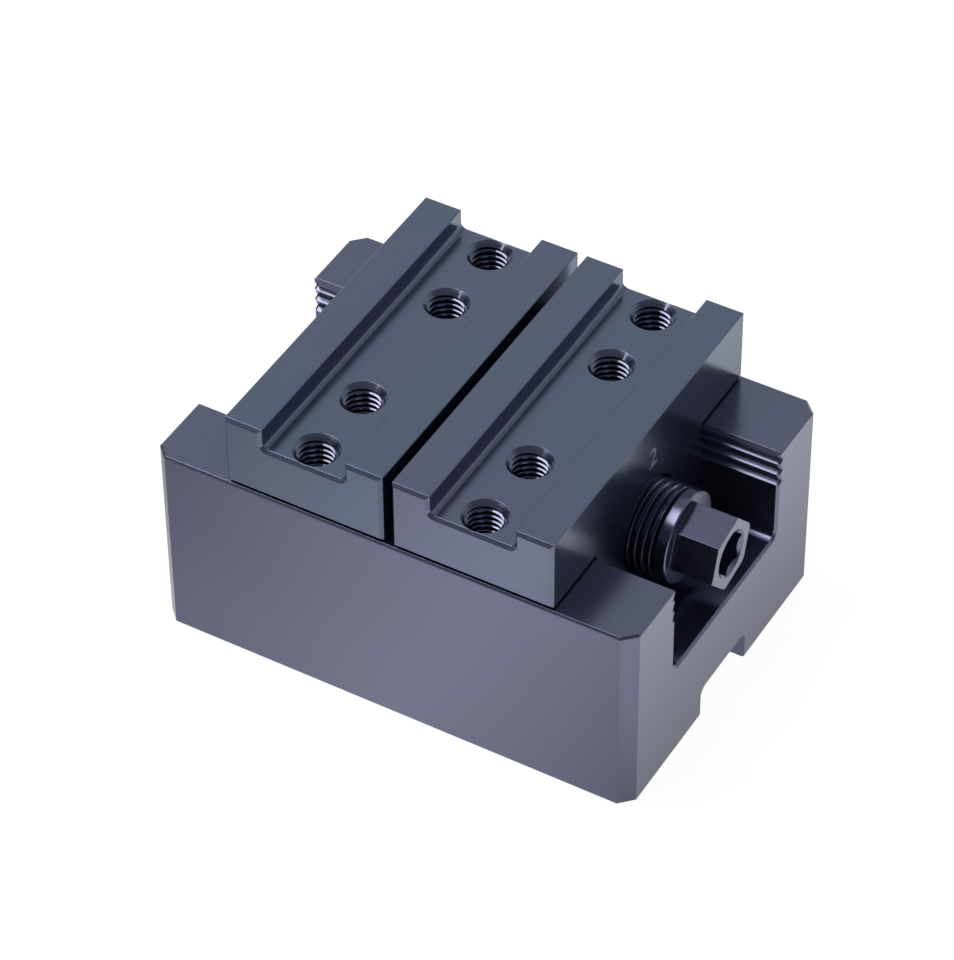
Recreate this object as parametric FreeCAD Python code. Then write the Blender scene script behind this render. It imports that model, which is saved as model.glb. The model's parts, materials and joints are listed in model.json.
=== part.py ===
"""Self-centring vise: two jaws that close together on one left- and right-hand screw.

X runs along the screw, Y across the jaws and Z up. The origin is the centre of the body's bottom
face. All sizes are in millimetres. At rest the jaws stand almost closed.
"""
import FreeCAD, Part
import math
import os

X_AXIS = FreeCAD.Vector(1, 0, 0)
Y_AXIS = FreeCAD.Vector(0, 1, 0)
Z_AXIS = FreeCAD.Vector(0, 0, 1)
ORIGIN = FreeCAD.Vector(0, 0, 0)

# How far a cutting shape reaches past the face that it opens, and how close two equal sizes lie
OVERCUT = 1.0
SAME_SIZE = 1e-4

# Body
body_length = 100.0
body_width = 72.0
body_height = 42.5
corner_chamfer = 2.6
edge_chamfer = 0.4
slot_width = 40.0
slot_depth = 20.7
slot_fillet = 2.0
slot_mouth_chamfer = 0.5
rail_lip_chamfer = 0.65

# Saw-tooth guide grooves in the slot's walls, counted down from the rail's top
tooth_count = 3
tooth_pitch = 2.6
tooth_depth = 0.9
tooth_lower_flank = 0.45
first_root_below_rail = 2.2

# Keyway along the underside
keyway_width = 17.5
keyway_depth = 6.8
keyway_fillet = 2.0

# Tapped fixing holes in the underside, M10
fixing_spacing = 52.0
fixing_hole_radius = 5.0
fixing_hole_depth = 15.0

# Jaws, ground flush with the body's sides
jaw_length = 32.9
jaw_gap = 1.9
jaw_rise = 15.2
jaw_rail_gap = 0.5
jaw_edge_chamfer = 0.15
jaw_end_chamfer = 0.65
rib_width = 7.75
channel_depth = 4.2
channel_fillet = 1.2
tongue_clearance = 0.06
tongue_floor_gap = 0.8
tongue_chamfer = 2.5
tongue_block_gap = 1.2
close_travel = 0.9
open_travel = 14.5

# Tapped jaw holes, M8
jaw_hole_radius = 4.0
jaw_hole_depth = 8.2
jaw_hole_inner_spacing = 30.0
jaw_hole_outer_spacing = 62.0
jaw_hole_countersink = 0.45
drill_point_angle = 118.0

# Lead screw: left-hand 18 by 1.5 mm thread on the drive side, smaller right-hand thread beyond the neck
screw_over_floor = 12.7
thread_radius = 9.0
thread_pitch = 1.5
thread_depth_per_pitch = 0.6134
thread_crest_per_pitch = 0.125
thread_flank_angle = 30.0
thread_end_chamfer = 0.4
thread_clearance = 0.12
thread_overrun = 0.7
ridge_rooting = 0.15
shoulder_length = 0.55
left_thread_gap = 0.15
shoulder_relief = 0.1
neck_radius = 5.0
running_gap = 0.05

# Stop collar and drive hexagon at the screw's right end
runout_length = 0.5
stop_collar_length = 2.1
stop_collar_rim = 0.1
stop_collar_chamfer = 0.2
hexagon_width = 13.0
hexagon_tilt = 13.0
hexagon_stand_out = 0.7
hexagon_edge_chamfer = 0.15
socket_width = 8.2
socket_depth = 6.0
socket_mouth_radius = 4.9

# End stop on the screw's left end, held by an M6 screw
end_washer_thickness = 1.5
end_screw_radius = 3.0
end_screw_length = 12.0
end_screw_head_radius = 5.0
end_screw_head_height = 3.2
end_screw_socket_width = 4.0

# Bronze nuts, each locked by two M4 set screws
nut_wall = 1.8
nut_length = 16.0
nut_bore_gap = 0.18
nut_fit = 0.02
screw_passage_gap = 0.6
nut_lock_radius = 2.0
nut_lock_length = 8.0
nut_lock_seat_depth = 0.7
nut_lock_socket_width = 2.0
nut_lock_socket_depth = 2.7
nut_lock_below_axis = 3.2

# Centre bearing: block, cap, half shells and half washers
bearing_thickness = 12.0
bearing_fit = 0.05
cap_top_gap = 0.4
shell_thickness = 1.5
shell_running_gap = 0.03
shell_fit = 0.02
washer_thickness = 1.5
washer_radius = 7.0
washer_split_gap = 0.1

# Cap screws, M4, outside the washers' seats
cap_screw_wall = 0.8
cap_screw_radius = 2.0
cap_screw_head_radius = 3.5
cap_screw_head_height = 4.0
cap_screw_engagement = 5.0
cap_screw_socket_width = 3.0
cap_screw_sink = 4.3

# Block bolts, M5, from below, near the block's ends
block_bolt_from_end = 4.15
block_bolt_radius = 2.5
block_bolt_head_radius = 4.25
block_bolt_head_height = 5.0
block_bolt_engagement = 5.8
block_bolt_socket_width = 4.0
block_bolt_sink = 9.6

# Dowels between the body and the bearing block
dowel_radius = 2.0
dowel_length = 10.0
dowel_in_block = 4.0
dowel_from_face = 3.0
dowel_offset_y = 7.0

# What all the fasteners share; the head's rim and socket are shares of its height
bolt_hole_gap = 0.25
counterbore_gap = 0.35
tapped_gap = 0.02
tapped_extra_depth = 0.5
head_rim_share = 0.08
head_solid_share = 0.45

# Places worked out from the sizes above
half_length = body_length / 2
slot_half = slot_width / 2
slot_floor_height = body_height - slot_depth
screw_height = slot_floor_height + screw_over_floor
jaw_inner = jaw_gap / 2
jaw_outer = jaw_inner + jaw_length
jaw_bottom = body_height + jaw_rail_gap
jaw_top = jaw_bottom + jaw_rise
channel_floor = jaw_top - channel_depth
jaw_hole_x = (jaw_inner + jaw_outer) / 2
block_half = bearing_thickness / 2
tongue_start = block_half + close_travel + tongue_block_gap
tongue_bottom = slot_floor_height + tongue_floor_gap
nut_end = tongue_start + nut_length
nut_radius = thread_radius + nut_wall
passage_radius = thread_radius + screw_passage_gap
nut_lock_x = tongue_start + nut_length / 2
nut_lock_height = screw_height - nut_lock_below_axis
nut_lock_seat = math.sqrt(nut_radius ** 2 - nut_lock_below_axis ** 2) - nut_lock_seat_depth
thread_depth = thread_depth_per_pitch * thread_pitch
thread_crest = thread_crest_per_pitch * thread_pitch
shoulder_face = block_half + running_gap
thread_start = shoulder_face + shoulder_length
thread_end = nut_end + open_travel + thread_overrun
right_root_radius = thread_radius - thread_depth
right_nut_bore = right_root_radius + nut_bore_gap
left_thread_radius = right_nut_bore - left_thread_gap
shoulder_radius = left_thread_radius - shoulder_relief
left_root_radius = left_thread_radius - thread_depth
left_nut_bore = left_root_radius + nut_bore_gap
collar_radius = thread_radius + stop_collar_rim
collar_back = thread_end + runout_length
hexagon_root = collar_back + stop_collar_length
hexagon_end = half_length + hexagon_stand_out
end_washer_face = thread_end + end_washer_thickness
shell_inner_radius = neck_radius + shell_running_gap
shell_outer_radius = shell_inner_radius + shell_thickness
washer_seat_radius = washer_radius + bearing_fit
washer_seat = block_half - washer_thickness
block_side = slot_half - bearing_fit
cap_top = jaw_bottom - cap_top_gap
cap_screw_offset = washer_seat_radius + cap_screw_wall + counterbore_gap + cap_screw_head_radius
cap_screw_seat = cap_top - cap_screw_sink
block_bolt_offset = block_side - block_bolt_from_end
dowel_offset_x = block_half - dowel_from_face
dowel_top = slot_floor_height + dowel_in_block


def box(low, high):
    """Return a block between two corners."""
    size = [high[i] - low[i] for i in range(3)]
    return Part.makeBox(size[0], size[1], size[2], FreeCAD.Vector(*low))


def rod_x(radius, x_start, x_end):
    """Return a cylinder on the screw's axis."""
    start = FreeCAD.Vector(x_start, 0, screw_height)
    return Part.makeCylinder(radius, x_end - x_start, start, X_AXIS)


def cone_x(radius_start, radius_end, x_start, x_end):
    """Return a cone on the screw's axis."""
    start = FreeCAD.Vector(x_start, 0, screw_height)
    return Part.makeCone(radius_start, radius_end, x_end - x_start, start, X_AXIS)


def rod_z(radius, x, y, z_start, z_end):
    """Return an upright cylinder."""
    return Part.makeCylinder(radius, z_end - z_start, FreeCAD.Vector(x, y, z_start), Z_AXIS)


def hexagon(width, length, tilt=0.0):
    """Return a hexagonal bar along +Z from the origin, measured across its flats."""
    corner_radius = width / math.sqrt(3)
    points = []
    for step in range(6):
        angle = math.radians(tilt + 60 * step)
        points.append(FreeCAD.Vector(corner_radius * math.cos(angle), corner_radius * math.sin(angle), 0))
    points.append(points[0])
    return Part.Face(Part.makePolygon(points)).extrude(Z_AXIS * length)


def hexagon_x(width, x_start, x_end, tilt=0.0):
    """Return a hexagonal bar on the screw's axis, with its tilt counted from +Y towards +Z."""
    bar = hexagon(width, x_end - x_start, tilt)
    bar.rotate(ORIGIN, Y_AXIS, 90)
    bar.rotate(ORIGIN, X_AXIS, 90)
    bar.translate(FreeCAD.Vector(x_start, 0, screw_height))
    return bar


def prism(points, x_start, x_end):
    """Return an outline of (y, z) points extruded along X."""
    corners = [FreeCAD.Vector(x_start, y, z) for y, z in points]
    corners.append(corners[0])
    return Part.Face(Part.makePolygon(corners)).extrude(X_AXIS * (x_end - x_start))


def mirrored(shape):
    """Return the shape mirrored to the other side of the vise's middle."""
    return shape.mirror(ORIGIN, X_AXIS)


def near(value, target):
    """Return whether two sizes are the same."""
    return abs(value - target) < SAME_SIZE


def straight_edges(shape, test):
    """Return the straight edges that a test on their two end points picks."""
    picked = []
    for edge in shape.Edges:
        if not isinstance(edge.Curve, Part.Line):
            continue
        ends = [vertex.Point for vertex in edge.Vertexes]
        if test(ends[0], ends[1]):
            picked.append(edge)
    return picked


def drilled(radius, depth, x, y, mouth, direction):
    """Return a blind hole with a drill point, going up (1) or down (-1) from its mouth."""
    point = radius / math.tan(math.radians(drill_point_angle / 2))
    axis = Z_AXIS * direction
    start = FreeCAD.Vector(x, y, mouth) - axis * OVERCUT
    hole = Part.makeCylinder(radius, depth + OVERCUT, start, axis)
    tip = Part.makeCone(radius, 0, point, start + axis * (depth + OVERCUT), axis)
    return hole.fuse(tip).removeSplitter()


def cap_screw(radius, length, head_radius, head_height, socket_width):
    """Return a socket head cap screw, head up, with the seat under its head at the origin."""
    rim = head_height * head_rim_share
    head = Part.makeCylinder(head_radius, head_height - rim)
    head = head.fuse(Part.makeCone(head_radius, head_radius - rim, rim, Z_AXIS * (head_height - rim)))
    shank = Part.makeCylinder(radius, length, ORIGIN, Z_AXIS * -1)
    socket = hexagon(socket_width, head_height)
    socket.translate(Z_AXIS * head_height * head_solid_share)
    return shank.fuse(head).removeSplitter().cut(socket)


def dowel_places():
    """Return the dowels' places in the bearing block's foot."""
    return [(-dowel_offset_x, -dowel_offset_y), (dowel_offset_x, dowel_offset_y)]


def groove_points(wall, depth, play):
    """Return the (y, z) points of one toothed wall from the top down, on the +Y side.

    The wall is the distance of its flat from the middle, and play thins each tooth at its base.
    """
    points = []
    for tooth in range(tooth_count):
        root = body_height - first_root_below_rail - tooth * tooth_pitch
        upper = root + tooth_pitch - tooth_lower_flank
        if tooth == 0:
            upper = body_height - rail_lip_chamfer
        if tooth == 0 or play > 0:
            points.append((wall, upper - play))
        points.append((wall + depth, root))
        points.append((wall, root - tooth_lower_flank + play))
    return points


def slot_wire(x, grow):
    """Return the slot's closed outline at one station, larger all round by grow."""
    wall = slot_half + grow
    top = body_height + 2 * OVERCUT
    floor = slot_floor_height - grow
    foot_y = slot_half - slot_fillet
    centre_z = slot_floor_height + slot_fillet
    middle_reach = (slot_fillet + grow) * math.sqrt(0.5)
    side = [(wall, top)] + groove_points(wall, tooth_depth, 0) + [(wall, centre_z)]
    edges = []
    for sign in (1, -1):
        points = [FreeCAD.Vector(x, sign * y, z) for y, z in side]
        for start, end in zip(points, points[1:]):
            edges.append(Part.LineSegment(start, end).toShape())
        middle = FreeCAD.Vector(x, sign * (foot_y + middle_reach), centre_z - middle_reach)
        foot = FreeCAD.Vector(x, sign * foot_y, floor)
        edges.append(Part.Arc(points[-1], middle, foot).toShape())
    for y, z in ((foot_y, floor), (wall, top)):
        edges.append(Part.LineSegment(FreeCAD.Vector(x, y, z), FreeCAD.Vector(x, -y, z)).toShape())
    return Part.Wire(Part.__sortEdges__(edges))


def make_slot():
    """Return the space that the slot takes out of the body, with chamfered mouths and lips."""
    end = half_length + OVERCUT
    slot = Part.Face(slot_wire(-end, 0)).extrude(X_AXIS * 2 * end)
    inner = half_length - slot_mouth_chamfer
    outer = half_length + slot_mouth_chamfer
    mouth = Part.makeLoft([slot_wire(inner, 0), slot_wire(outer, 2 * slot_mouth_chamfer)], True, True)
    slot = slot.fuse(mouth).fuse(mirrored(mouth))
    for side in (-1, 1):
        lip = prism([
            (side * (slot_half - OVERCUT), body_height - rail_lip_chamfer - OVERCUT),
            (side * (slot_half + rail_lip_chamfer + OVERCUT), body_height + OVERCUT),
            (side * (slot_half - OVERCUT), body_height + OVERCUT),
        ], -end, end)
        slot = slot.fuse(lip)
    return slot


def make_body():
    """Return the ground steel body with its slot, guide grooves, keyway and holes."""
    half_width = body_width / 2
    body = box((-half_length, -half_width, 0), (half_length, half_width, body_height))
    corners = straight_edges(body, lambda a, b: near(a.x, b.x) and near(a.y, b.y))
    body = body.makeChamfer(corner_chamfer, corners)
    body = body.makeChamfer(edge_chamfer, straight_edges(body, lambda a, b: near(a.z, b.z)))
    body = body.cut(make_slot())

    end = half_length + OVERCUT
    keyway = box((-end, -keyway_width / 2, -OVERCUT), (end, keyway_width / 2, keyway_depth))
    ceiling = straight_edges(keyway, lambda a, b: near(a.z + b.z, 2 * keyway_depth) and near(a.y, b.y))
    body = body.cut(keyway.makeFillet(keyway_fillet, ceiling))

    for x in (-fixing_spacing / 2, fixing_spacing / 2):
        for y in (-fixing_spacing / 2, fixing_spacing / 2):
            body = body.cut(drilled(fixing_hole_radius, fixing_hole_depth, x, y, 0, 1))
    floor_opening = slot_floor_height + OVERCUT
    for y in (-block_bolt_offset, block_bolt_offset):
        body = body.cut(rod_z(block_bolt_radius + bolt_hole_gap, 0, y, -OVERCUT, floor_opening))
        body = body.cut(rod_z(block_bolt_head_radius + counterbore_gap, 0, y, -OVERCUT, block_bolt_sink))
    for x, y in dowel_places():
        body = body.cut(rod_z(dowel_radius + tapped_gap, x, y, dowel_top - dowel_length, floor_opening))
    return body


def make_tongue():
    """Return the jaw's toothed tongue, which fills the slot behind the centre bearing."""
    wall = slot_half - tongue_clearance
    tongue_top = jaw_bottom + jaw_edge_chamfer
    side = [(wall, tongue_top)] + groove_points(wall, tooth_depth - tongue_clearance, tongue_clearance)
    side.append((wall, tongue_bottom + tongue_chamfer))
    side.append((wall - tongue_chamfer, tongue_bottom))
    outline = side + [(-y, z) for y, z in reversed(side)]
    return prism(outline, tongue_start, jaw_outer)


def make_plate():
    """Return the ribbed plate of the jaw on the +X side, with chamfered outer edges."""
    half_width = body_width / 2
    plate = box((jaw_inner, -half_width, jaw_bottom), (jaw_outer, half_width, jaw_top))
    channel = box((jaw_inner + rib_width, -half_width - OVERCUT, channel_floor),
                  (jaw_outer - rib_width, half_width + OVERCUT, jaw_top + OVERCUT))
    corners = straight_edges(channel, lambda a, b: near(a.z + b.z, 2 * channel_floor) and near(a.x, b.x))
    plate = plate.cut(channel.makeFillet(channel_fillet, corners))

    def round_end(a, b):
        """Return whether an edge lies in one of the plate's two end faces."""
        return near(a.y, b.y) and near(abs(a.y), half_width)

    def along(a, b):
        """Return whether an edge runs along the plate's top or bottom."""
        return near(a.x, b.x) and (near(a.z + b.z, 2 * jaw_top) or near(a.z + b.z, 2 * jaw_bottom))

    plate = plate.makeChamfer(jaw_end_chamfer, straight_edges(plate, round_end))
    return plate.makeChamfer(jaw_edge_chamfer, straight_edges(plate, along))


def make_jaw():
    """Return the jaw on the +X side: ribbed plate, toothed tongue and tapped holes."""
    jaw = make_plate().fuse(make_tongue()).removeSplitter()
    jaw = jaw.cut(rod_x(nut_radius + nut_fit, tongue_start - OVERCUT, nut_end))
    jaw = jaw.cut(rod_x(passage_radius, jaw_inner - OVERCUT, jaw_outer + OVERCUT))
    sink = jaw_hole_countersink
    for spacing in (jaw_hole_inner_spacing, jaw_hole_outer_spacing):
        for y in (-spacing / 2, spacing / 2):
            jaw = jaw.cut(drilled(jaw_hole_radius, jaw_hole_depth, jaw_hole_x, y, channel_floor, -1))
            bottom = FreeCAD.Vector(jaw_hole_x, y, channel_floor - sink)
            mouth = Part.makeCone(jaw_hole_radius, jaw_hole_radius + 2 * sink, 2 * sink, bottom, Z_AXIS)
            jaw = jaw.cut(mouth)
    for side in (-1, 1):
        start = FreeCAD.Vector(nut_lock_x, 0, nut_lock_height)
        jaw = jaw.cut(Part.makeCylinder(nut_lock_radius + tapped_gap, slot_half, start, Y_AXIS * side))
    return jaw


def thread_ridge(root_radius, outer_radius, x_start, x_end, grow):
    """Return a left-hand helical ridge on the +X side, thicker all round by grow.

    It starts whole turns away from the thread's start, so screw and nut threads are in step.
    """
    flank = math.radians(thread_flank_angle)
    inner = root_radius - ridge_rooting
    outer = outer_radius + grow
    crest_half = thread_crest / 2 + grow * (1 - math.sin(flank)) / math.cos(flank)
    base_half = crest_half + (outer - inner) * math.tan(flank)
    turns = math.floor((x_start - thread_start) / thread_pitch) - 1
    first = thread_start + turns * thread_pitch
    corners = [(inner, -base_half), (outer, -crest_half), (outer, crest_half), (inner, base_half)]
    points = [FreeCAD.Vector(radius, 0, along) for radius, along in corners]
    profile = Part.makePolygon(points + [points[0]])
    path = Part.makeLongHelix(thread_pitch, x_end - first + thread_pitch, outer_radius, 0, True)
    ridge = Part.Wire(path.Edges).makePipeShell([profile], True, True)
    ridge.rotate(ORIGIN, Y_AXIS, 90)
    ridge.translate(FreeCAD.Vector(first, 0, screw_height))
    return ridge


def make_thread(outer_radius):
    """Return the thread on the +X side with its core, chamfered at its outer end."""
    root_radius = outer_radius - thread_depth
    ridge = thread_ridge(root_radius, outer_radius, thread_start, thread_end, 0)
    clear_radius = outer_radius + OVERCUT
    taper_start = thread_end - thread_end_chamfer
    envelope = rod_x(clear_radius, thread_start, taper_start)
    envelope = envelope.fuse(cone_x(clear_radius, outer_radius - thread_end_chamfer, taper_start, thread_end))
    core = rod_x(root_radius, thread_start, thread_end)
    return core.fuse(ridge.common(envelope))


def make_drive():
    """Return the stop collar and the hollow drive hexagon at the screw's right end."""
    drive = rod_x(right_root_radius, thread_end, collar_back)
    rim_start = hexagon_root - stop_collar_chamfer
    drive = drive.fuse(rod_x(collar_radius, collar_back, rim_start))
    drive = drive.fuse(cone_x(collar_radius, collar_radius - stop_collar_chamfer, rim_start, hexagon_root))

    bar = hexagon_x(hexagon_width, hexagon_root, hexagon_end, hexagon_tilt)
    corner_radius = hexagon_width / math.sqrt(3)
    clear_radius = corner_radius + 2 * OVERCUT
    crown_start = hexagon_end - hexagon_edge_chamfer - OVERCUT
    crown = cone_x(clear_radius, corner_radius - 2 * hexagon_edge_chamfer, crown_start, hexagon_end)
    bar = bar.common(rod_x(clear_radius, hexagon_root, crown_start).fuse(crown))
    bar = bar.cut(hexagon_x(socket_width, hexagon_end - socket_depth, hexagon_end + OVERCUT, hexagon_tilt))
    mouth_depth = socket_mouth_radius - socket_width / 2
    mouth = cone_x(socket_width / 2, socket_mouth_radius + OVERCUT, hexagon_end - mouth_depth,
                   hexagon_end + OVERCUT)
    bar = bar.cut(mouth)
    return drive.fuse(bar)


def make_screw():
    """Return the lead screw: neck, two opposite threads, stop collar and drive hexagon."""
    screw = rod_x(neck_radius, -shoulder_face, shoulder_face)
    shoulder = rod_x(shoulder_radius, shoulder_face, thread_start)
    screw = screw.fuse(shoulder).fuse(mirrored(shoulder))
    screw = screw.fuse(make_thread(thread_radius)).fuse(mirrored(make_thread(left_thread_radius)))
    screw = screw.fuse(make_drive())
    hole_end = end_screw_length - end_washer_face + tapped_extra_depth
    return screw.cut(rod_x(end_screw_radius + tapped_gap, -thread_end - OVERCUT, hole_end))


def make_end_washer():
    """Return the washer that stops the left jaw at the screw's end."""
    washer = rod_x(thread_radius, -end_washer_face, -thread_end)
    hole = rod_x(end_screw_radius + bolt_hole_gap, -end_washer_face - OVERCUT, -thread_end + OVERCUT)
    return washer.cut(hole)


def make_end_screw():
    """Return the screw that holds the end washer."""
    screw = cap_screw(end_screw_radius, end_screw_length, end_screw_head_radius, end_screw_head_height,
                      end_screw_socket_width)
    screw.rotate(ORIGIN, Y_AXIS, -90)
    screw.translate(FreeCAD.Vector(-end_washer_face, 0, screw_height))
    return screw


def make_nut(outer_radius, bore_radius):
    """Return the bronze nut on the +X side, with its thread and two set screw seats."""
    nut = rod_x(nut_radius, tongue_start, nut_end)
    nut = nut.cut(rod_x(bore_radius, tongue_start - OVERCUT, nut_end + OVERCUT))
    nut = nut.cut(thread_ridge(bore_radius, outer_radius, tongue_start, nut_end, thread_clearance))
    for side in (-1, 1):
        seat = FreeCAD.Vector(nut_lock_x, side * nut_lock_seat, nut_lock_height)
        nut = nut.cut(Part.makeCylinder(nut_lock_radius + tapped_gap, nut_radius, seat, Y_AXIS * side))
    return nut


def make_nut_locks():
    """Return the two set screws that lock the nut on the +X side."""
    screws = []
    for side in (-1, 1):
        screw = Part.makeCylinder(nut_lock_radius, nut_lock_length)
        socket = hexagon(nut_lock_socket_width, nut_lock_socket_depth + OVERCUT)
        socket.translate(Z_AXIS * (nut_lock_length - nut_lock_socket_depth))
        screw = screw.cut(socket)
        screw.rotate(ORIGIN, X_AXIS, -90 * side)
        screw.translate(FreeCAD.Vector(nut_lock_x, side * nut_lock_seat, nut_lock_height))
        screws.append(screw)
    return Part.makeCompound(screws)


def bearing_bore():
    """Return the space for the shells and washers inside the centre bearing."""
    end = block_half + OVERCUT
    bore = rod_x(shell_outer_radius + shell_fit, -end, end)
    seat = rod_x(washer_seat_radius, washer_seat, end)
    return bore.fuse(seat).fuse(mirrored(seat))


def make_block():
    """Return the lower half of the centre bearing, seated on the slot's floor."""
    block = box((-block_half, -block_side, slot_floor_height), (block_half, block_side, screw_height))
    feet = straight_edges(block, lambda a, b: near(a.z + b.z, 2 * slot_floor_height) and near(a.y, b.y))
    block = block.makeChamfer(tongue_chamfer, feet)
    block = block.cut(bearing_bore())
    below = slot_floor_height - OVERCUT
    tapping_bottom = screw_height - cap_screw_engagement - tapped_extra_depth
    tapping_top = slot_floor_height + block_bolt_engagement + tapped_extra_depth
    for side in (-1, 1):
        y = side * cap_screw_offset
        block = block.cut(rod_z(cap_screw_radius + tapped_gap, 0, y, tapping_bottom, screw_height + OVERCUT))
        y = side * block_bolt_offset
        block = block.cut(rod_z(block_bolt_radius + tapped_gap, 0, y, below, tapping_top))
    for x, y in dowel_places():
        block = block.cut(rod_z(dowel_radius + tapped_gap, x, y, below, dowel_top))
    return block


def make_cap():
    """Return the upper half of the centre bearing."""
    cap = box((-block_half, -block_side, screw_height), (block_half, block_side, cap_top))
    top_edges = straight_edges(cap, lambda a, b: near(a.z + b.z, 2 * cap_top))
    cap = cap.makeChamfer(edge_chamfer, top_edges)
    cap = cap.cut(bearing_bore())
    above = cap_top + OVERCUT
    for y in (-cap_screw_offset, cap_screw_offset):
        cap = cap.cut(rod_z(cap_screw_radius + bolt_hole_gap, 0, y, screw_height - OVERCUT, above))
        cap = cap.cut(rod_z(cap_screw_head_radius + counterbore_gap, 0, y, cap_screw_seat, above))
    return cap


def upper_and_lower(ring, gap):
    """Return a ring on the screw's axis sawn into its upper and lower halves."""
    reach = 2 * body_width
    upper = box((-reach, -reach, screw_height + gap / 2), (reach, reach, screw_height + reach))
    lower = box((-reach, -reach, screw_height - reach), (reach, reach, screw_height - gap / 2))
    return ring.common(upper), ring.common(lower)


def make_shells():
    """Return the upper and lower bearing shells round the screw's neck."""
    ring = rod_x(shell_outer_radius, -washer_seat, washer_seat)
    ring = ring.cut(rod_x(shell_inner_radius, -washer_seat - OVERCUT, washer_seat + OVERCUT))
    return upper_and_lower(ring, 0)


def make_washer():
    """Return the two halves of the thrust washer on the +X side."""
    ring = rod_x(washer_radius, washer_seat, block_half)
    ring = ring.cut(rod_x(shell_inner_radius, washer_seat - OVERCUT, block_half + OVERCUT))
    return Part.makeCompound(list(upper_and_lower(ring, washer_split_gap)))


def make_cap_screws():
    """Return the two screws that hold the bearing cap."""
    length = cap_screw_seat - screw_height + cap_screw_engagement
    screws = []
    for y in (-cap_screw_offset, cap_screw_offset):
        screw = cap_screw(cap_screw_radius, length, cap_screw_head_radius, cap_screw_head_height,
                          cap_screw_socket_width)
        screw.translate(FreeCAD.Vector(0, y, cap_screw_seat))
        screws.append(screw)
    return Part.makeCompound(screws)


def make_block_bolts():
    """Return the two bolts that hold the bearing block from below."""
    length = slot_floor_height + block_bolt_engagement - block_bolt_sink
    bolts = []
    for y in (-block_bolt_offset, block_bolt_offset):
        bolt = cap_screw(block_bolt_radius, length, block_bolt_head_radius, block_bolt_head_height,
                         block_bolt_socket_width)
        bolt.rotate(ORIGIN, X_AXIS, 180)
        bolt.translate(FreeCAD.Vector(0, y, block_bolt_sink))
        bolts.append(bolt)
    return Part.makeCompound(bolts)


def make_dowels():
    """Return the two dowels that place the bearing block."""
    bottom = dowel_top - dowel_length
    return Part.makeCompound([rod_z(dowel_radius, x, y, bottom, dowel_top) for x, y in dowel_places()])


def make_pieces():
    """Return every piece of the vise by its name."""
    jaw = make_jaw()
    locks = make_nut_locks()
    washer = make_washer()
    upper_shell, lower_shell = make_shells()
    return {
        "base_body": make_body(),
        "jaw_right": jaw,
        "jaw_left": mirrored(jaw),
        "nut_right": make_nut(thread_radius, right_nut_bore),
        "nut_left": mirrored(make_nut(left_thread_radius, left_nut_bore)),
        "nut_lock_screws_right": locks,
        "nut_lock_screws_left": mirrored(locks),
        "lead_screw": make_screw(),
        "end_stop_washer": make_end_washer(),
        "end_stop_screw": make_end_screw(),
        "bearing_block": make_block(),
        "bearing_cap": make_cap(),
        "bearing_cap_screws": make_cap_screws(),
        "bearing_shell_upper": upper_shell,
        "bearing_shell_lower": lower_shell,
        "thrust_washer_right": washer,
        "thrust_washer_left": mirrored(washer),
        "block_bolts": make_block_bolts(),
        "block_dowels": make_dowels(),
    }


def main():
    """Write every piece to its own file."""
    os.makedirs("parts", exist_ok=True)
    for name, shape in make_pieces().items():
        shape.exportStep("parts/" + name + ".step")


main()
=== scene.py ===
"""Dresses the self-centring vise: tapped threads, jaw numbers, metal finishes and the studio.

Everything is in metres in the vise's own frame: X along the lead screw, Y across the jaws, Z up.
"""
import json
import math

import bpy
from mathutils import Matrix, Vector


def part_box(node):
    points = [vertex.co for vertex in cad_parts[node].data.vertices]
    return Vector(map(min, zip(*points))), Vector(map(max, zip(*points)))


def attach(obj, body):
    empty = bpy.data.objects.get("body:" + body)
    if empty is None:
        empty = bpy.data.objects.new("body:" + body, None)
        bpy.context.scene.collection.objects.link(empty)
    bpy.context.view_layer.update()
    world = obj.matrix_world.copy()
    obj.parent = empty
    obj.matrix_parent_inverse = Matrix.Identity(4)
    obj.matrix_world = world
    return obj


bl_info = {
    "name": "Self-centring vise dressing",
    "version": (1, 0, 0),
    "blender": (4, 5, 0),
    "location": "3D View > Sidebar > Vise",
    "description": "Taps the holes, numbers the jaws and finishes the steel and bronze of the vise",
    "category": "Object",
}

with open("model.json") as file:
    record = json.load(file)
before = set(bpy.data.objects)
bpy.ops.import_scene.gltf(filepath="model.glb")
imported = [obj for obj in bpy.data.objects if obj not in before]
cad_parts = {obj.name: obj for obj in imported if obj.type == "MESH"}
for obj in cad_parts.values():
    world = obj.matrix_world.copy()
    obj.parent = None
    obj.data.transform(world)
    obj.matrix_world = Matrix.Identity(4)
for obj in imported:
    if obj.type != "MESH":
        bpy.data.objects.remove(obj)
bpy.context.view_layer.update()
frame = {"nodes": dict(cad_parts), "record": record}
MM = 0.001

# Threads: turned steps in one turn, how deep a ridge is rooted in its hole's wall, and its flank angle
STEPS_PER_TURN = 48
RIDGE_ROOTING = 0.03 * MM
FLANK = math.radians(30)
SMOOTH_ANGLE = math.radians(30)
WELD_DISTANCE = 1e-7

# Finishes: lines in a metre along X, Y and Z that the tool leaves, low in the direction of its cut
GROUND_ALONG = (40, 3300, 3300)
GROUND_ACROSS = (3300, 40, 3300)
TURNED = (5000, 60, 60)
TURNED_BRONZE = (4000, 200, 200)
UNCUT = (300, 300, 300)

# Finishes: how rough they are, and how far the lines sway that roughness
GROUND_ROUGHNESS = 0.22
THREAD_ROUGHNESS = 0.14
FASTENER_ROUGHNESS = 0.35
BRONZE_ROUGHNESS = 0.3
NUMBER_ROUGHNESS = 0.3
GLOSS_SWAY = 0.015

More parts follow.
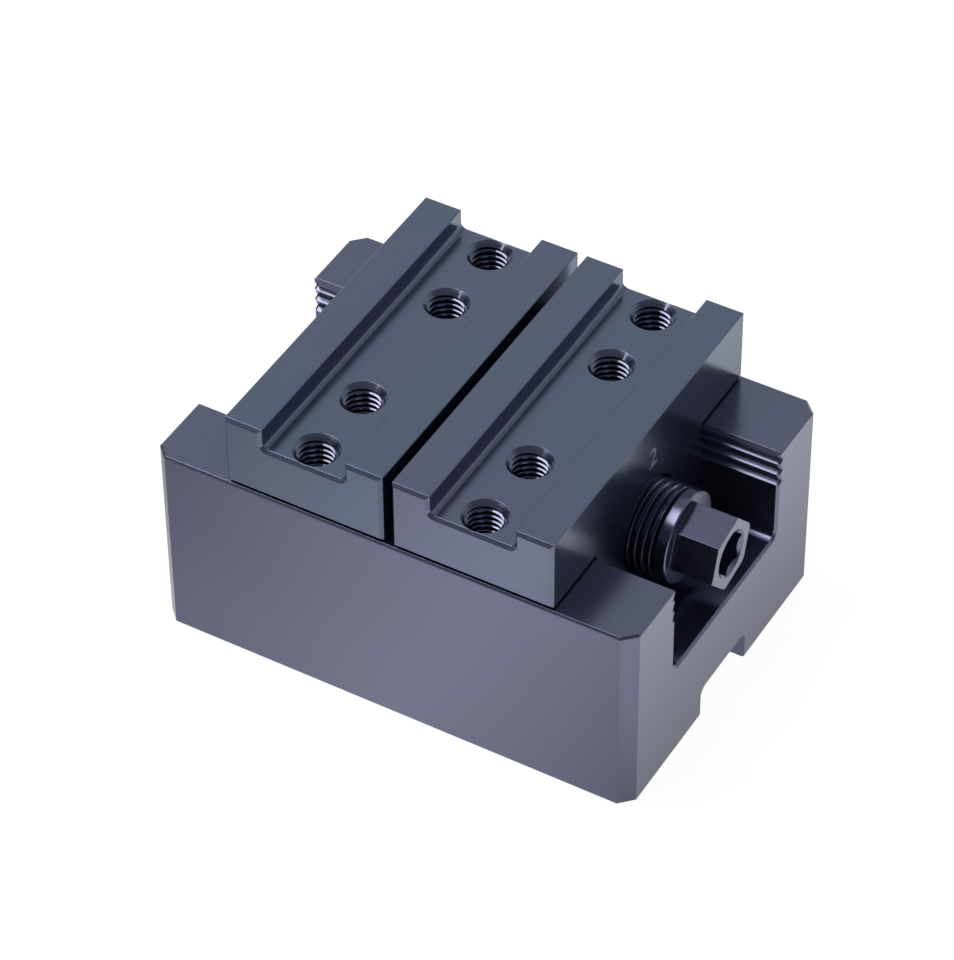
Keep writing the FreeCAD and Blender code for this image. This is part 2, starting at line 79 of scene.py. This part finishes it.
# Finishes: how wide an edge is rubbed, the share of the worn tint that it takes, and the cosines of
# the surface's turn between which it takes it
GROUND_WEAR = 0.12 * MM
THREAD_WEAR = 0.03 * MM
FASTENER_WEAR = 0.1 * MM
WEAR_SHARE = 0.1
WEAR_FROM = 0.995
WEAR_TO = 0.9
WEAR_SAMPLES = 8

# Finishes: patches of tint in a metre, the noise levels between which they change, and their detail
GROUND_PATCHES = 14.0
TURNED_PATCHES = 60.0
FASTENER_PATCHES = 80.0
PATCH_LEVELS = (0.38, 0.62)
PATCH_DETAIL = 2.0
PATCH_ROUGHNESS = 0.45

# Finishes: the noise levels and the detail of the lines, their brightness and their depth
LINE_LEVELS = (0.3, 0.7)
LINE_DETAIL = 3.0
LINE_ROUGHNESS = 0.6
LINE_BRIGHTNESS = (0.985, 1.015)
SCRATCH_STRENGTH = 0.02
SCRATCH_DEPTH = 0.01 * MM

# Finishes: the oxide film scatters a little light, and bare metal scatters none
OXIDE_METAL = 0.9
BARE_METAL = 1.0

# The floor: its side, how far its shading reaches along X from the middle, that shading's stops, and
# the share of its own glow
FLOOR_SIDE = 8.0
FLOOR_REACH = 0.1
FLOOR_LEVELS = ((0.1, 0.36), (0.3, 0.62), (0.5, 0.88), (0.63, 0.72), (0.75, 0.5), (0.87, 0.86))
FLOOR_GLOW_SHARE = 0.85
PAPER = (0.9, 0.9, 0.9, 1)
WHITE = (1, 1, 1, 1)

# The room: its two brightnesses, where it brightens along Y, the axis that counts as height, and
# the heights between which it dims
ROOM_DARK = (0.19, 0.20, 0.24, 1)
ROOM_BRIGHT = (0.62, 0.67, 0.70, 1)
ROOM_BACK = (-0.1, 0.5)
ROOM_HEIGHT_AXIS = (0.3, 0.0, 1.0)
ROOM_HEIGHTS = (1.0, 0.58)

# The softbox: its direction from the vise, its distance and its side
SOFTBOX_DIRECTION = (-0.50, -0.18, 0.85)
SOFTBOX_DISTANCE = 0.9
SOFTBOX_SIDE = 0.62

# The camera that the photograph was taken with, solved from the vise's edges
CAMERA_PLACE = (0.304687, -0.523017, 0.595540)
CAMERA_TURN = (46.9147, 0.3919, 30.0530)
CAMERA_LENS = 167.482
CAMERA_SENSOR = 36.0
CAMERA_CLIP_START = 0.01


def from_hex(text):
    """Return the linear colour of an sRGB hex value."""
    channels = [int(text[i:i + 2], 16) / 255 for i in (0, 2, 4)]
    linear = [c / 12.92 if c <= 0.04045 else ((c + 0.055) / 1.055) ** 2.4 for c in channels]
    return (*linear, 1.0)


def colour(name, text, description):
    """Return a colour property whose default is an sRGB hex value."""
    return bpy.props.FloatVectorProperty(
        name=name, description=description, subtype="COLOR", size=4, min=0.0, max=1.0,
        default=from_hex(text))


def length(name, millimetres, description):
    """Return a length property whose default is given in millimetres."""
    return bpy.props.FloatProperty(
        name=name, description=description, unit="LENGTH", min=0.0, precision=5,
        default=millimetres * MM)


class ViseThreadSizes(bpy.types.PropertyGroup):
    """Sizes of the tapped holes' threads"""
    jaw_pitch: length("Jaw pitch", 1.25, "Rise of the jaw holes' thread in one turn")
    jaw_minor_radius: length("Jaw minor radius", 3.32, "Inner radius of the jaw holes' thread")
    jaw_depth: length("Jaw depth", 7.4, "How far the thread goes down a jaw hole")
    jaw_countersink: length("Jaw countersink", 0.45, "Depth of the countersink at a jaw hole's mouth")
    fixing_pitch: length("Fixing pitch", 1.5, "Rise of the fixing holes' thread in one turn")
    fixing_minor_radius: length("Fixing minor radius", 4.19, "Inner radius of the fixing holes' thread")
    fixing_depth: length("Fixing depth", 13.0, "How far the thread goes up a fixing hole")
    fixing_countersink: length("Fixing countersink", 0.5, "How far below the mouth the thread starts")


class ViseNumbers(bpy.types.PropertyGroup):
    """The plain numbers on the jaws' outer faces"""
    size: length("Size", 6.2, "Size of the font")
    across: length("Across", 0.9, "Distance of a number from the vise's middle plane")
    height: length("Height", 49.7, "Height of a number's middle above the underside")
    relief: length("Relief", 0.02, "How far a number's burr stands off the face")


class ViseColours(bpy.types.PropertyGroup):
    """Colours of the finishes"""
    oxide: colour("Black oxide", "6C6E84", "Ground steel under black oxide")
    oxide_cool: colour("Cool black oxide", "667084", "Thinner oxide, where it turns greener")
    worn: colour("Worn edge", "A0A3B4", "Steel that shows through the oxide along edges")
    turned: colour("Turned steel", "696C80", "Turned screw under black oxide")
    # The thread's tint is darker than the oxide as painted shade for the holes that it lies in
    thread: colour("Cut thread", "5C5F70", "Tapped thread under black oxide")
    fastener: colour("Fastener", "3A3C46", "Black-oxided fastener")
    bronze: colour("Bronze", "B08A58", "Bearing bronze")
    # A number's light tint is a painted highlight for the glint of its stamped edges
    number: colour("Number", "B4B7C6", "Bright metal in a stamped number")


class ViseStudio(bpy.types.PropertyGroup):
    """Light of the studio"""
    key_power: bpy.props.FloatProperty(name="Key power", description="Softbox high up on the left",
                                       unit="POWER", min=0.0, default=5.8)
    floor_white: bpy.props.FloatProperty(name="Floor white", min=0.0, default=1.12,
                                         description="Brightness of the floor for the camera")
    floor_glare: bpy.props.FloatProperty(name="Floor glare", min=0.0, default=1.5,
                                         description="Brightness of the floor in the steel")


def start_fresh():
    """Go to object mode and deselect everything, so that an operator acts on one piece alone."""
    if bpy.context.mode != "OBJECT":
        bpy.ops.object.mode_set(mode="OBJECT")
    bpy.ops.object.select_all(action="DESELECT")


def pick(piece):
    """Select one piece alone and make it active."""
    start_fresh()
    piece.select_set(True)
    bpy.context.view_layer.objects.active = piece


def edit_vertices(piece, test):
    """Go to edit mode with the vertices selected whose place passes a test."""
    bpy.ops.object.mode_set(mode="EDIT")
    bpy.ops.mesh.select_mode(type="VERT")
    bpy.ops.mesh.select_all(action="DESELECT")
    bpy.ops.object.mode_set(mode="OBJECT")
    for vertex in piece.data.vertices:
        vertex.select = test(vertex.co)
    bpy.ops.object.mode_set(mode="EDIT")


def close_ends(piece):
    """Fill a swept ridge's open ends and turn all its faces outwards."""
    edit_vertices(piece, lambda place: True)
    bpy.ops.mesh.remove_doubles(threshold=WELD_DISTANCE)
    bpy.ops.mesh.fill_holes(sides=4)
    bpy.ops.mesh.normals_make_consistent(inside=False)
    bpy.ops.object.mode_set(mode="OBJECT")


def add_node(tree, kind, settings, links=()):
    """Add a node, set its attributes or its input sockets, and link its inputs."""
    node = tree.nodes.new(kind)
    for key, value in settings.items():
        if isinstance(key, str) and key[0].islower():
            setattr(node, key, value)
        else:
            node.inputs[key].default_value = value
    for key, source in links:
        tree.links.new(source, node.inputs[key])
    return node


def set_stops(ramp, stops):
    """Give a colour ramp its grey stops, each a position and a level."""
    elements = ramp.color_ramp.elements
    while len(elements) < len(stops):
        elements.new(0.5)
    for element, (position, level) in zip(elements, stops):
        element.position = position
        element.color = (level, level, level, 1)


def new_material(name):
    """Return an empty node material and its tree."""
    material = bpy.data.materials.new(name)
    material.use_nodes = True
    material.node_tree.nodes.clear()
    return material, material.node_tree


def cut_metal(name, main, second, worn, grain, roughness, wear_width, patches_per_metre,
              metal=OXIDE_METAL):
    """Return a satin metal with the fine lines that a tool leaves.

    Grain is how many lines a metre holds along X, Y and Z. The colour varies in patches between
    the main and the second tint, and edges take a little of the worn one.
    """
    material, tree = new_material(name)
    place = add_node(tree, "ShaderNodeTexCoord", {})
    lines_at = add_node(tree, "ShaderNodeMapping", {"Scale": grain},
                        [("Vector", place.outputs["Object"])])
    lines = add_node(tree, "ShaderNodeTexNoise",
                     {"Scale": 1.0, "Detail": LINE_DETAIL, "Roughness": LINE_ROUGHNESS},
                     [("Vector", lines_at.outputs[0])])
    patches = add_node(tree, "ShaderNodeTexNoise",
                       {"Scale": patches_per_metre, "Detail": PATCH_DETAIL,
                        "Roughness": PATCH_ROUGHNESS},
                       [("Vector", place.outputs["Object"])])
    share = add_node(tree, "ShaderNodeMapRange",
                     {"From Min": PATCH_LEVELS[0], "From Max": PATCH_LEVELS[1]},
                     [("Value", patches.outputs[0])])
    tint = add_node(tree, "ShaderNodeMix", {"data_type": "RGBA", 6: main, 7: second},
                    [(0, share.outputs[0])])
    line_share = add_node(tree, "ShaderNodeMapRange",
                          {"From Min": LINE_LEVELS[0], "From Max": LINE_LEVELS[1],
                           "To Min": LINE_BRIGHTNESS[0], "To Max": LINE_BRIGHTNESS[1]},
                          [("Value", lines.outputs[0])])
    lined = add_node(tree, "ShaderNodeVectorMath", {"operation": "SCALE"},
                     [(0, tint.outputs[2]), ("Scale", line_share.outputs[0])])

    bevel = add_node(tree, "ShaderNodeBevel", {"samples": WEAR_SAMPLES, "Radius": wear_width})
    face = add_node(tree, "ShaderNodeNewGeometry", {})
    turn = add_node(tree, "ShaderNodeVectorMath", {"operation": "DOT_PRODUCT"},
                    [(0, bevel.outputs[0]), (1, face.outputs["Normal"])])
    rubbed = add_node(tree, "ShaderNodeMapRange",
                      {"From Min": WEAR_FROM, "From Max": WEAR_TO, "To Max": WEAR_SHARE},
                      [("Value", turn.outputs["Value"])])
    base = add_node(tree, "ShaderNodeMix", {"data_type": "RGBA", 7: worn},
                    [(0, rubbed.outputs[0]), (6, lined.outputs[0])])

    gloss = add_node(tree, "ShaderNodeMapRange",
                     {"From Min": LINE_LEVELS[0], "From Max": LINE_LEVELS[1],
                      "To Min": roughness - GLOSS_SWAY, "To Max": roughness + GLOSS_SWAY},
                     [("Value", lines.outputs[0])])
    scratch = add_node(tree, "ShaderNodeBump", {"Strength": SCRATCH_STRENGTH, "Distance": SCRATCH_DEPTH},
                       [("Height", lines.outputs[0]), ("Normal", bevel.outputs[0])])
    shader = add_node(tree, "ShaderNodeBsdfPrincipled", {"Metallic": metal},
                      [("Base Color", base.outputs[2]), ("Roughness", gloss.outputs[0]),
                       ("Normal", scratch.outputs[0])])
    add_node(tree, "ShaderNodeOutputMaterial", {}, [("Surface", shader.outputs[0])])
    return material


def finish_nodes(names, material):
    """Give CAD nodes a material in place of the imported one."""
    for name in names:
        node = frame["nodes"][name]
        node.data.materials.clear()
        node.data.materials.append(material)


def hole_places(mount_name):
    """Return the centres of a mount's holes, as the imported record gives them."""
    mount = next(m for m in frame["record"]["mounts"] if m["name"] == mount_name)
    centre = Vector(mount["pos_m"])
    half_x = mount["dims"].get("spacing_x_mm", 0.0) * MM / 2
    half_y = mount["dims"]["spacing_y_mm"] * MM / 2
    columns = (-half_x, half_x) if half_x else (0.0,)
    return [centre + Vector((x, y, 0)) for x in columns for y in (-half_y, half_y)]


def tap(radius, minor_radius, pitch, depth, countersink):
    """Model one internal thread that goes down from a mouth at the origin, and return it."""
    height = radius + RIDGE_ROOTING - minor_radius
    # The ridge is a quarter of the pitch wide at its crest and is rooted in the hole's wall
    crest = pitch / 4
    root = crest + 2 * height * math.tan(FLANK)
    middle = radius + RIDGE_ROOTING - height / 2
    start_fresh()
    bpy.ops.mesh.primitive_plane_add(size=1.0, rotation=(math.pi / 2, 0, 0))
    ridge = bpy.context.object
    bpy.ops.object.transform_apply()
    edit_vertices(ridge, lambda place: True)
    bpy.ops.transform.resize(value=(height, 1, root), center_override=(0, 0, 0))
    bpy.ops.mesh.delete(type="ONLY_FACE")
    bpy.ops.object.mode_set(mode="OBJECT")
    edit_vertices(ridge, lambda place: place.x < 0)
    bpy.ops.transform.resize(value=(1, 1, crest / root), center_override=(0, 0, 0))
    bpy.ops.object.mode_set(mode="OBJECT")
    edit_vertices(ridge, lambda place: True)
    bpy.ops.transform.translate(value=(middle, 0, -depth))
    bpy.ops.object.mode_set(mode="OBJECT")

    turns = ridge.modifiers.new("Turns", "SCREW")
    turns.screw_offset = pitch
    turns.iterations = math.ceil(depth / pitch) + 1
    turns.steps = STEPS_PER_TURN
    turns.render_steps = STEPS_PER_TURN
    bpy.ops.object.modifier_apply(modifier=turns.name)
    close_ends(ridge)

    reach = 2 * radius
    start_fresh()
    bpy.ops.mesh.primitive_cone_add(vertices=2 * STEPS_PER_TURN, radius1=0, radius2=reach, depth=reach,
                                    location=(0, 0, reach / 2 - radius - countersink))
    tool = bpy.context.object
    pick(ridge)
    sink = ridge.modifiers.new("Countersink", "BOOLEAN")
    sink.operation = "DIFFERENCE"
    sink.object = tool
    bpy.ops.object.modifier_apply(modifier=sink.name)
    bpy.data.objects.remove(tool)
    pick(ridge)
    bpy.ops.object.shade_smooth_by_angle(angle=SMOOTH_ANGLE)
    return ridge


def place_threads(model, stem, places, turn, body, material):
    """Copy a thread to every hole, turned to the hole's direction, and drop the model."""
    for number, place in enumerate(places, 1):
        thread = model.copy()
        thread.data = model.data.copy()
        thread.name = f"{stem}_{number}"
        thread.data.transform(Matrix.Translation(place) @ turn)
        thread.data.materials.clear()
        thread.data.materials.append(material)
        bpy.context.scene.collection.objects.link(thread)
        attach(thread, body)
    bpy.data.objects.remove(model)


class VISE_OT_steel(bpy.types.Operator):
    """Finish the body, jaws, centre bearing, screw and fasteners in black-oxided steel"""
    bl_idname = "vise.steel"
    bl_label = "Finish steel"

    def execute(self, context):
        colours = context.scene.vise_colours
        # Surface grinding leaves faint lines along the body, under a satin oxide. They are 0.3 mm
        # apart, coarser than real ones, which would be too fine to show
        body = cut_metal("Ground black-oxided body steel", colours.oxide, colours.turned, colours.worn,
                         GROUND_ALONG, GROUND_ROUGHNESS, GROUND_WEAR, GROUND_PATCHES)
        finish_nodes(["base_body", "bearing_block", "bearing_cap"], body)
        # The jaws are ground across the vise, and they went through the oxide bath apart, so their
        # tints differ a little
        for side, main, second in (("left", colours.oxide_cool, colours.oxide),
                                   ("right", colours.oxide, colours.oxide_cool)):
            jaw = cut_metal(f"Ground black-oxided {side} jaw steel", main, second, colours.worn,
                            GROUND_ACROSS, GROUND_ROUGHNESS, GROUND_WEAR, GROUND_PATCHES)
            finish_nodes([f"jaw_{side}"], jaw)
        # A tap burnishes its thread, so it glints more than the faces; its darker tint is painted shade
        # for the hole that it lies in
        cut_metal("Cut thread steel with painted shade", colours.thread, colours.oxide, colours.worn,
                  UNCUT, THREAD_ROUGHNESS, THREAD_WEAR, TURNED_PATCHES)
        # Turning leaves fine rings round the screw's axis, drawn 0.2 mm apart, coarser than real ones
        turned = cut_metal("Turned black-oxided screw steel", colours.turned, colours.oxide,
                           colours.worn, TURNED, GROUND_ROUGHNESS, GROUND_WEAR, TURNED_PATCHES)
        finish_nodes(["lead_screw", "end_stop_washer"], turned)
        # Bought fasteners are blacker and duller than the ground steel round them
        fasteners = cut_metal("Black-oxided fastener steel", colours.fastener, colours.turned,
                              colours.worn, UNCUT, FASTENER_ROUGHNESS, FASTENER_WEAR, FASTENER_PATCHES)
        finish_nodes(["end_stop_screw", "bearing_cap_screws", "nut_lock_screws_right",
                      "nut_lock_screws_left", "block_bolts", "block_dowels"], fasteners)
        return {"FINISHED"}


class VISE_OT_bronze(bpy.types.Operator):
    """Finish the nuts, the bearing shells and the thrust washers in machined bronze"""
    bl_idname = "vise.bronze"
    bl_label = "Finish bronze"

    def execute(self, context):
        colours = context.scene.vise_colours
        # Bare bronze has one tint all over, without oxide or worn edges
        bronze = cut_metal("Machined bearing bronze", colours.bronze, colours.bronze, colours.bronze,
                           TURNED_BRONZE, BRONZE_ROUGHNESS, FASTENER_WEAR, TURNED_PATCHES, BARE_METAL)
        finish_nodes(["nut_right", "nut_left", "bearing_shell_upper", "bearing_shell_lower",
                      "thrust_washer_right", "thrust_washer_left"], bronze)
        return {"FINISHED"}


class VISE_OT_jaw_threads(bpy.types.Operator):
    """Tap the four holes in each jaw"""
    bl_idname = "vise.jaw_threads"
    bl_label = "Tap jaw holes"

    def execute(self, context):
        sizes = context.scene.vise_threads
        cut = bpy.data.materials["Cut thread steel with painted shade"]
        for side in ("right", "left"):
            mounts = [m for m in frame["record"]["mounts"] if m["name"].startswith(f"jaw_{side}_")]
            taps = [m for m in mounts if m["kind"] == "bolt_pattern"]
            places = [place for mount in taps for place in hole_places(mount["name"])]
            radius = taps[0]["dims"]["hole_r_mm"] * MM
            model = tap(radius, sizes.jaw_minor_radius, sizes.jaw_pitch, sizes.jaw_depth,
                        sizes.jaw_countersink)
            place_threads(model, f"jaw_{side}_thread", places, Matrix.Identity(4), f"{side}_jaw", cut)
        return {"FINISHED"}


class VISE_OT_fixing_threads(bpy.types.Operator):
    """Tap the four fixing holes in the underside"""
    bl_idname = "vise.fixing_threads"
    bl_label = "Tap fixing holes"

    def execute(self, context):
        sizes = context.scene.vise_threads
        mount = next(m for m in frame["record"]["mounts"] if m["name"] == "fixing_holes")
        model = tap(mount["dims"]["hole_r_mm"] * MM, sizes.fixing_minor_radius, sizes.fixing_pitch,
                    sizes.fixing_depth, sizes.fixing_countersink)
        upwards = Matrix.Rotation(math.pi, 4, "X")
        place_threads(model, "fixing_thread", hole_places("fixing_holes"), upwards, "base",
                      bpy.data.materials["Cut thread steel with painted shade"])
        return {"FINISHED"}


class VISE_OT_numbers(bpy.types.Operator):
    """Stamp a plain number on each jaw's outer face"""
    bl_idname = "vise.numbers"
    bl_label = "Number jaws"

    def execute(self, context):
        numbers = context.scene.vise_numbers
        # A number is lighter than the oxide round it, as a painted highlight for the glint of its
        # stamped edges
        material, tree = new_material("Number metal with painted highlight")
        shader = add_node(tree, "ShaderNodeBsdfPrincipled",
                          {"Base Color": context.scene.vise_colours.number, "Metallic": BARE_METAL,
                           "Roughness": NUMBER_ROUGHNESS})
        add_node(tree, "ShaderNodeOutputMaterial", {}, [("Surface", shader.outputs[0])])
        for side, digit, sign in (("right", "2", 1), ("left", "1", -1)):
            low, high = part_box(f"jaw_{side}")
            face_x = high.x if sign > 0 else low.x
            start_fresh()
            bpy.ops.object.text_add()
            number = bpy.context.object
            number.name = f"jaw_{side}_number"
            number.data.body = digit
            number.data.align_x = "CENTER"
            number.data.align_y = "CENTER"
            number.data.size = numbers.size
            number.data.extrude = numbers.relief
            bpy.ops.object.convert(target="MESH")
            number = bpy.context.object
            standing = Matrix(((0, 0, sign), (sign, 0, 0), (0, 1, 0))).to_4x4()
            place = Matrix.Translation((face_x, sign * numbers.across, numbers.height))
            number.data.transform(place @ standing)
            number.data.materials.append(material)
            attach(number, f"{side}_jaw")
        return {"FINISHED"}


class VISE_OT_studio(bpy.types.Operator):
    """Set the pale floor, the world, the softbox and the camera"""
    bl_idname = "vise.studio"
    bl_label = "Set studio"

    def execute(self, context):
        studio = context.scene.vise_studio
        scene = context.scene
        scene.view_settings.view_transform = "Standard"
        start_fresh()
        bpy.ops.mesh.primitive_plane_add(size=FLOOR_SIDE)
        floor = context.object
        floor.name = "studio_floor"
        material, tree = new_material("White paper floor")
        rays = add_node(tree, "ShaderNodeLightPath", {})
        place = add_node(tree, "ShaderNodeTexCoord", {})
        parts = add_node(tree, "ShaderNodeSeparateXYZ", {}, [(0, place.outputs["Object"])])
        along = add_node(tree, "ShaderNodeMapRange", {"From Min": -FLOOR_REACH, "From Max": FLOOR_REACH},
                         [("Value", parts.outputs["X"])])
        # The steel sees a floor that is dim beyond the left end and at the right end, and bright
        # below the middle and farther right
        ramp = add_node(tree, "ShaderNodeValToRGB", {}, [(0, along.outputs[0])])
        set_stops(ramp, FLOOR_LEVELS)
        glare = add_node(tree, "ShaderNodeMath", {"operation": "MULTIPLY", 1: studio.floor_glare},
                         [(0, ramp.outputs[0])])
        level = add_node(tree, "ShaderNodeMix", {"data_type": "FLOAT", 3: studio.floor_white},
                         [(0, rays.outputs["Is Camera Ray"]), (2, glare.outputs[0])])
        seen = add_node(tree, "ShaderNodeMath", {"operation": "MAXIMUM"},
                        [(0, rays.outputs["Is Camera Ray"]), (1, rays.outputs["Is Glossy Ray"])])
        share = add_node(tree, "ShaderNodeMath", {"operation": "MULTIPLY", 1: FLOOR_GLOW_SHARE},
                         [(0, seen.outputs[0])])
        paper = add_node(tree, "ShaderNodeBsdfDiffuse", {"Color": PAPER})
        glow = add_node(tree, "ShaderNodeEmission", {"Color": WHITE}, [("Strength", level.outputs[0])])
        mixed = add_node(tree, "ShaderNodeMixShader", {},
                         [(0, share.outputs[0]), (1, paper.outputs[0]), (2, glow.outputs[0])])
        add_node(tree, "ShaderNodeOutputMaterial", {}, [("Surface", mixed.outputs[0])])
        floor.data.materials.append(material)

        world = bpy.data.worlds.new("Studio sky")
        world.use_nodes = True
        tree = world.node_tree
        tree.nodes.clear()
        # The room is bright at the back up to mid height, less high up on the right, and dark elsewhere
        direction = add_node(tree, "ShaderNodeTexCoord", {})
        parts = add_node(tree, "ShaderNodeSeparateXYZ", {}, [(0, direction.outputs["Generated"])])
        back = add_node(tree, "ShaderNodeMapRange",
                        {"interpolation_type": "SMOOTHSTEP", "From Min": ROOM_BACK[0],
                         "From Max": ROOM_BACK[1]},
                        [("Value", parts.outputs["Y"])])
        rise = add_node(tree, "ShaderNodeVectorMath", {"operation": "DOT_PRODUCT", 1: ROOM_HEIGHT_AXIS},
                        [(0, direction.outputs["Generated"])])
        low = add_node(tree, "ShaderNodeMapRange",
                       {"interpolation_type": "SMOOTHSTEP", "From Min": ROOM_HEIGHTS[0],
                        "From Max": ROOM_HEIGHTS[1]},
                       [("Value", rise.outputs["Value"])])
        lit = add_node(tree, "ShaderNodeMath", {"operation": "MULTIPLY"},
                       [(0, back.outputs[0]), (1, low.outputs[0])])
        room = add_node(tree, "ShaderNodeMix", {"data_type": "RGBA", 6: ROOM_DARK, 7: ROOM_BRIGHT},
                        [(0, lit.outputs[0])])
        sky = add_node(tree, "ShaderNodeBackground", {"Strength": 1.0}, [("Color", room.outputs[2])])
        add_node(tree, "ShaderNodeOutputWorld", {}, [("Surface", sky.outputs[0])])
        scene.world = world

        aim = Vector(SOFTBOX_DIRECTION).normalized()
        start_fresh()
        bpy.ops.object.light_add(type="AREA", location=aim * SOFTBOX_DISTANCE)
        lamp = context.object
        lamp.name = "key_softbox"
        lamp.data.shape = "SQUARE"
        lamp.data.size = SOFTBOX_SIDE
        lamp.data.energy = studio.key_power
        lamp.rotation_euler = aim.to_track_quat("Z", "Y").to_euler()

        start_fresh()
        bpy.ops.object.camera_add(location=CAMERA_PLACE, rotation=[math.radians(a) for a in CAMERA_TURN])
        camera = context.object
        camera.name = "photo_camera"
        camera.data.lens = CAMERA_LENS
        camera.data.sensor_width = CAMERA_SENSOR
        camera.data.clip_start = CAMERA_CLIP_START
        scene.camera = camera
        return {"FINISHED"}


class VISE_PT_sidebar(bpy.types.Panel):
    """Steps that dress the vise"""
    bl_idname = "VISE_PT_sidebar"
    bl_label = "Vise"
    bl_space_type = "VIEW_3D"
    bl_region_type = "UI"
    bl_category = "Vise"

    def draw(self, context):
        column = self.layout.column()
        for step in STEPS:
            column.operator(step.bl_idname)
        for group_name in GROUPS:
            group = getattr(context.scene, group_name)
            for name in group.bl_rna.properties.keys():
                if name not in ("rna_type", "name"):
                    column.prop(group, name)


GROUPS = {
    "vise_threads": ViseThreadSizes,
    "vise_numbers": ViseNumbers,
    "vise_colours": ViseColours,
    "vise_studio": ViseStudio,
}
STEPS = (VISE_OT_steel, VISE_OT_bronze, VISE_OT_jaw_threads, VISE_OT_fixing_threads, VISE_OT_numbers,
         VISE_OT_studio)


def register():
    """Register the classes and hang the property groups on the scene."""
    for name, group in GROUPS.items():
        bpy.utils.register_class(group)
        setattr(bpy.types.Scene, name, bpy.props.PointerProperty(type=group))
    for step in STEPS:
        bpy.utils.register_class(step)
    bpy.utils.register_class(VISE_PT_sidebar)


def unregister():
    """Take away what register added."""
    bpy.utils.unregister_class(VISE_PT_sidebar)
    for step in reversed(STEPS):
        bpy.utils.unregister_class(step)
    for name, group in GROUPS.items():
        delattr(bpy.types.Scene, name)
        bpy.utils.unregister_class(group)


def main():
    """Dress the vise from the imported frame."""
    register()
    bpy.ops.vise.steel()
    bpy.ops.vise.bronze()
    bpy.ops.vise.jaw_threads()
    bpy.ops.vise.fixing_threads()
    bpy.ops.vise.numbers()
    bpy.ops.vise.studio()
    start_fresh()
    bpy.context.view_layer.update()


if __name__ == "__main__":
    main()
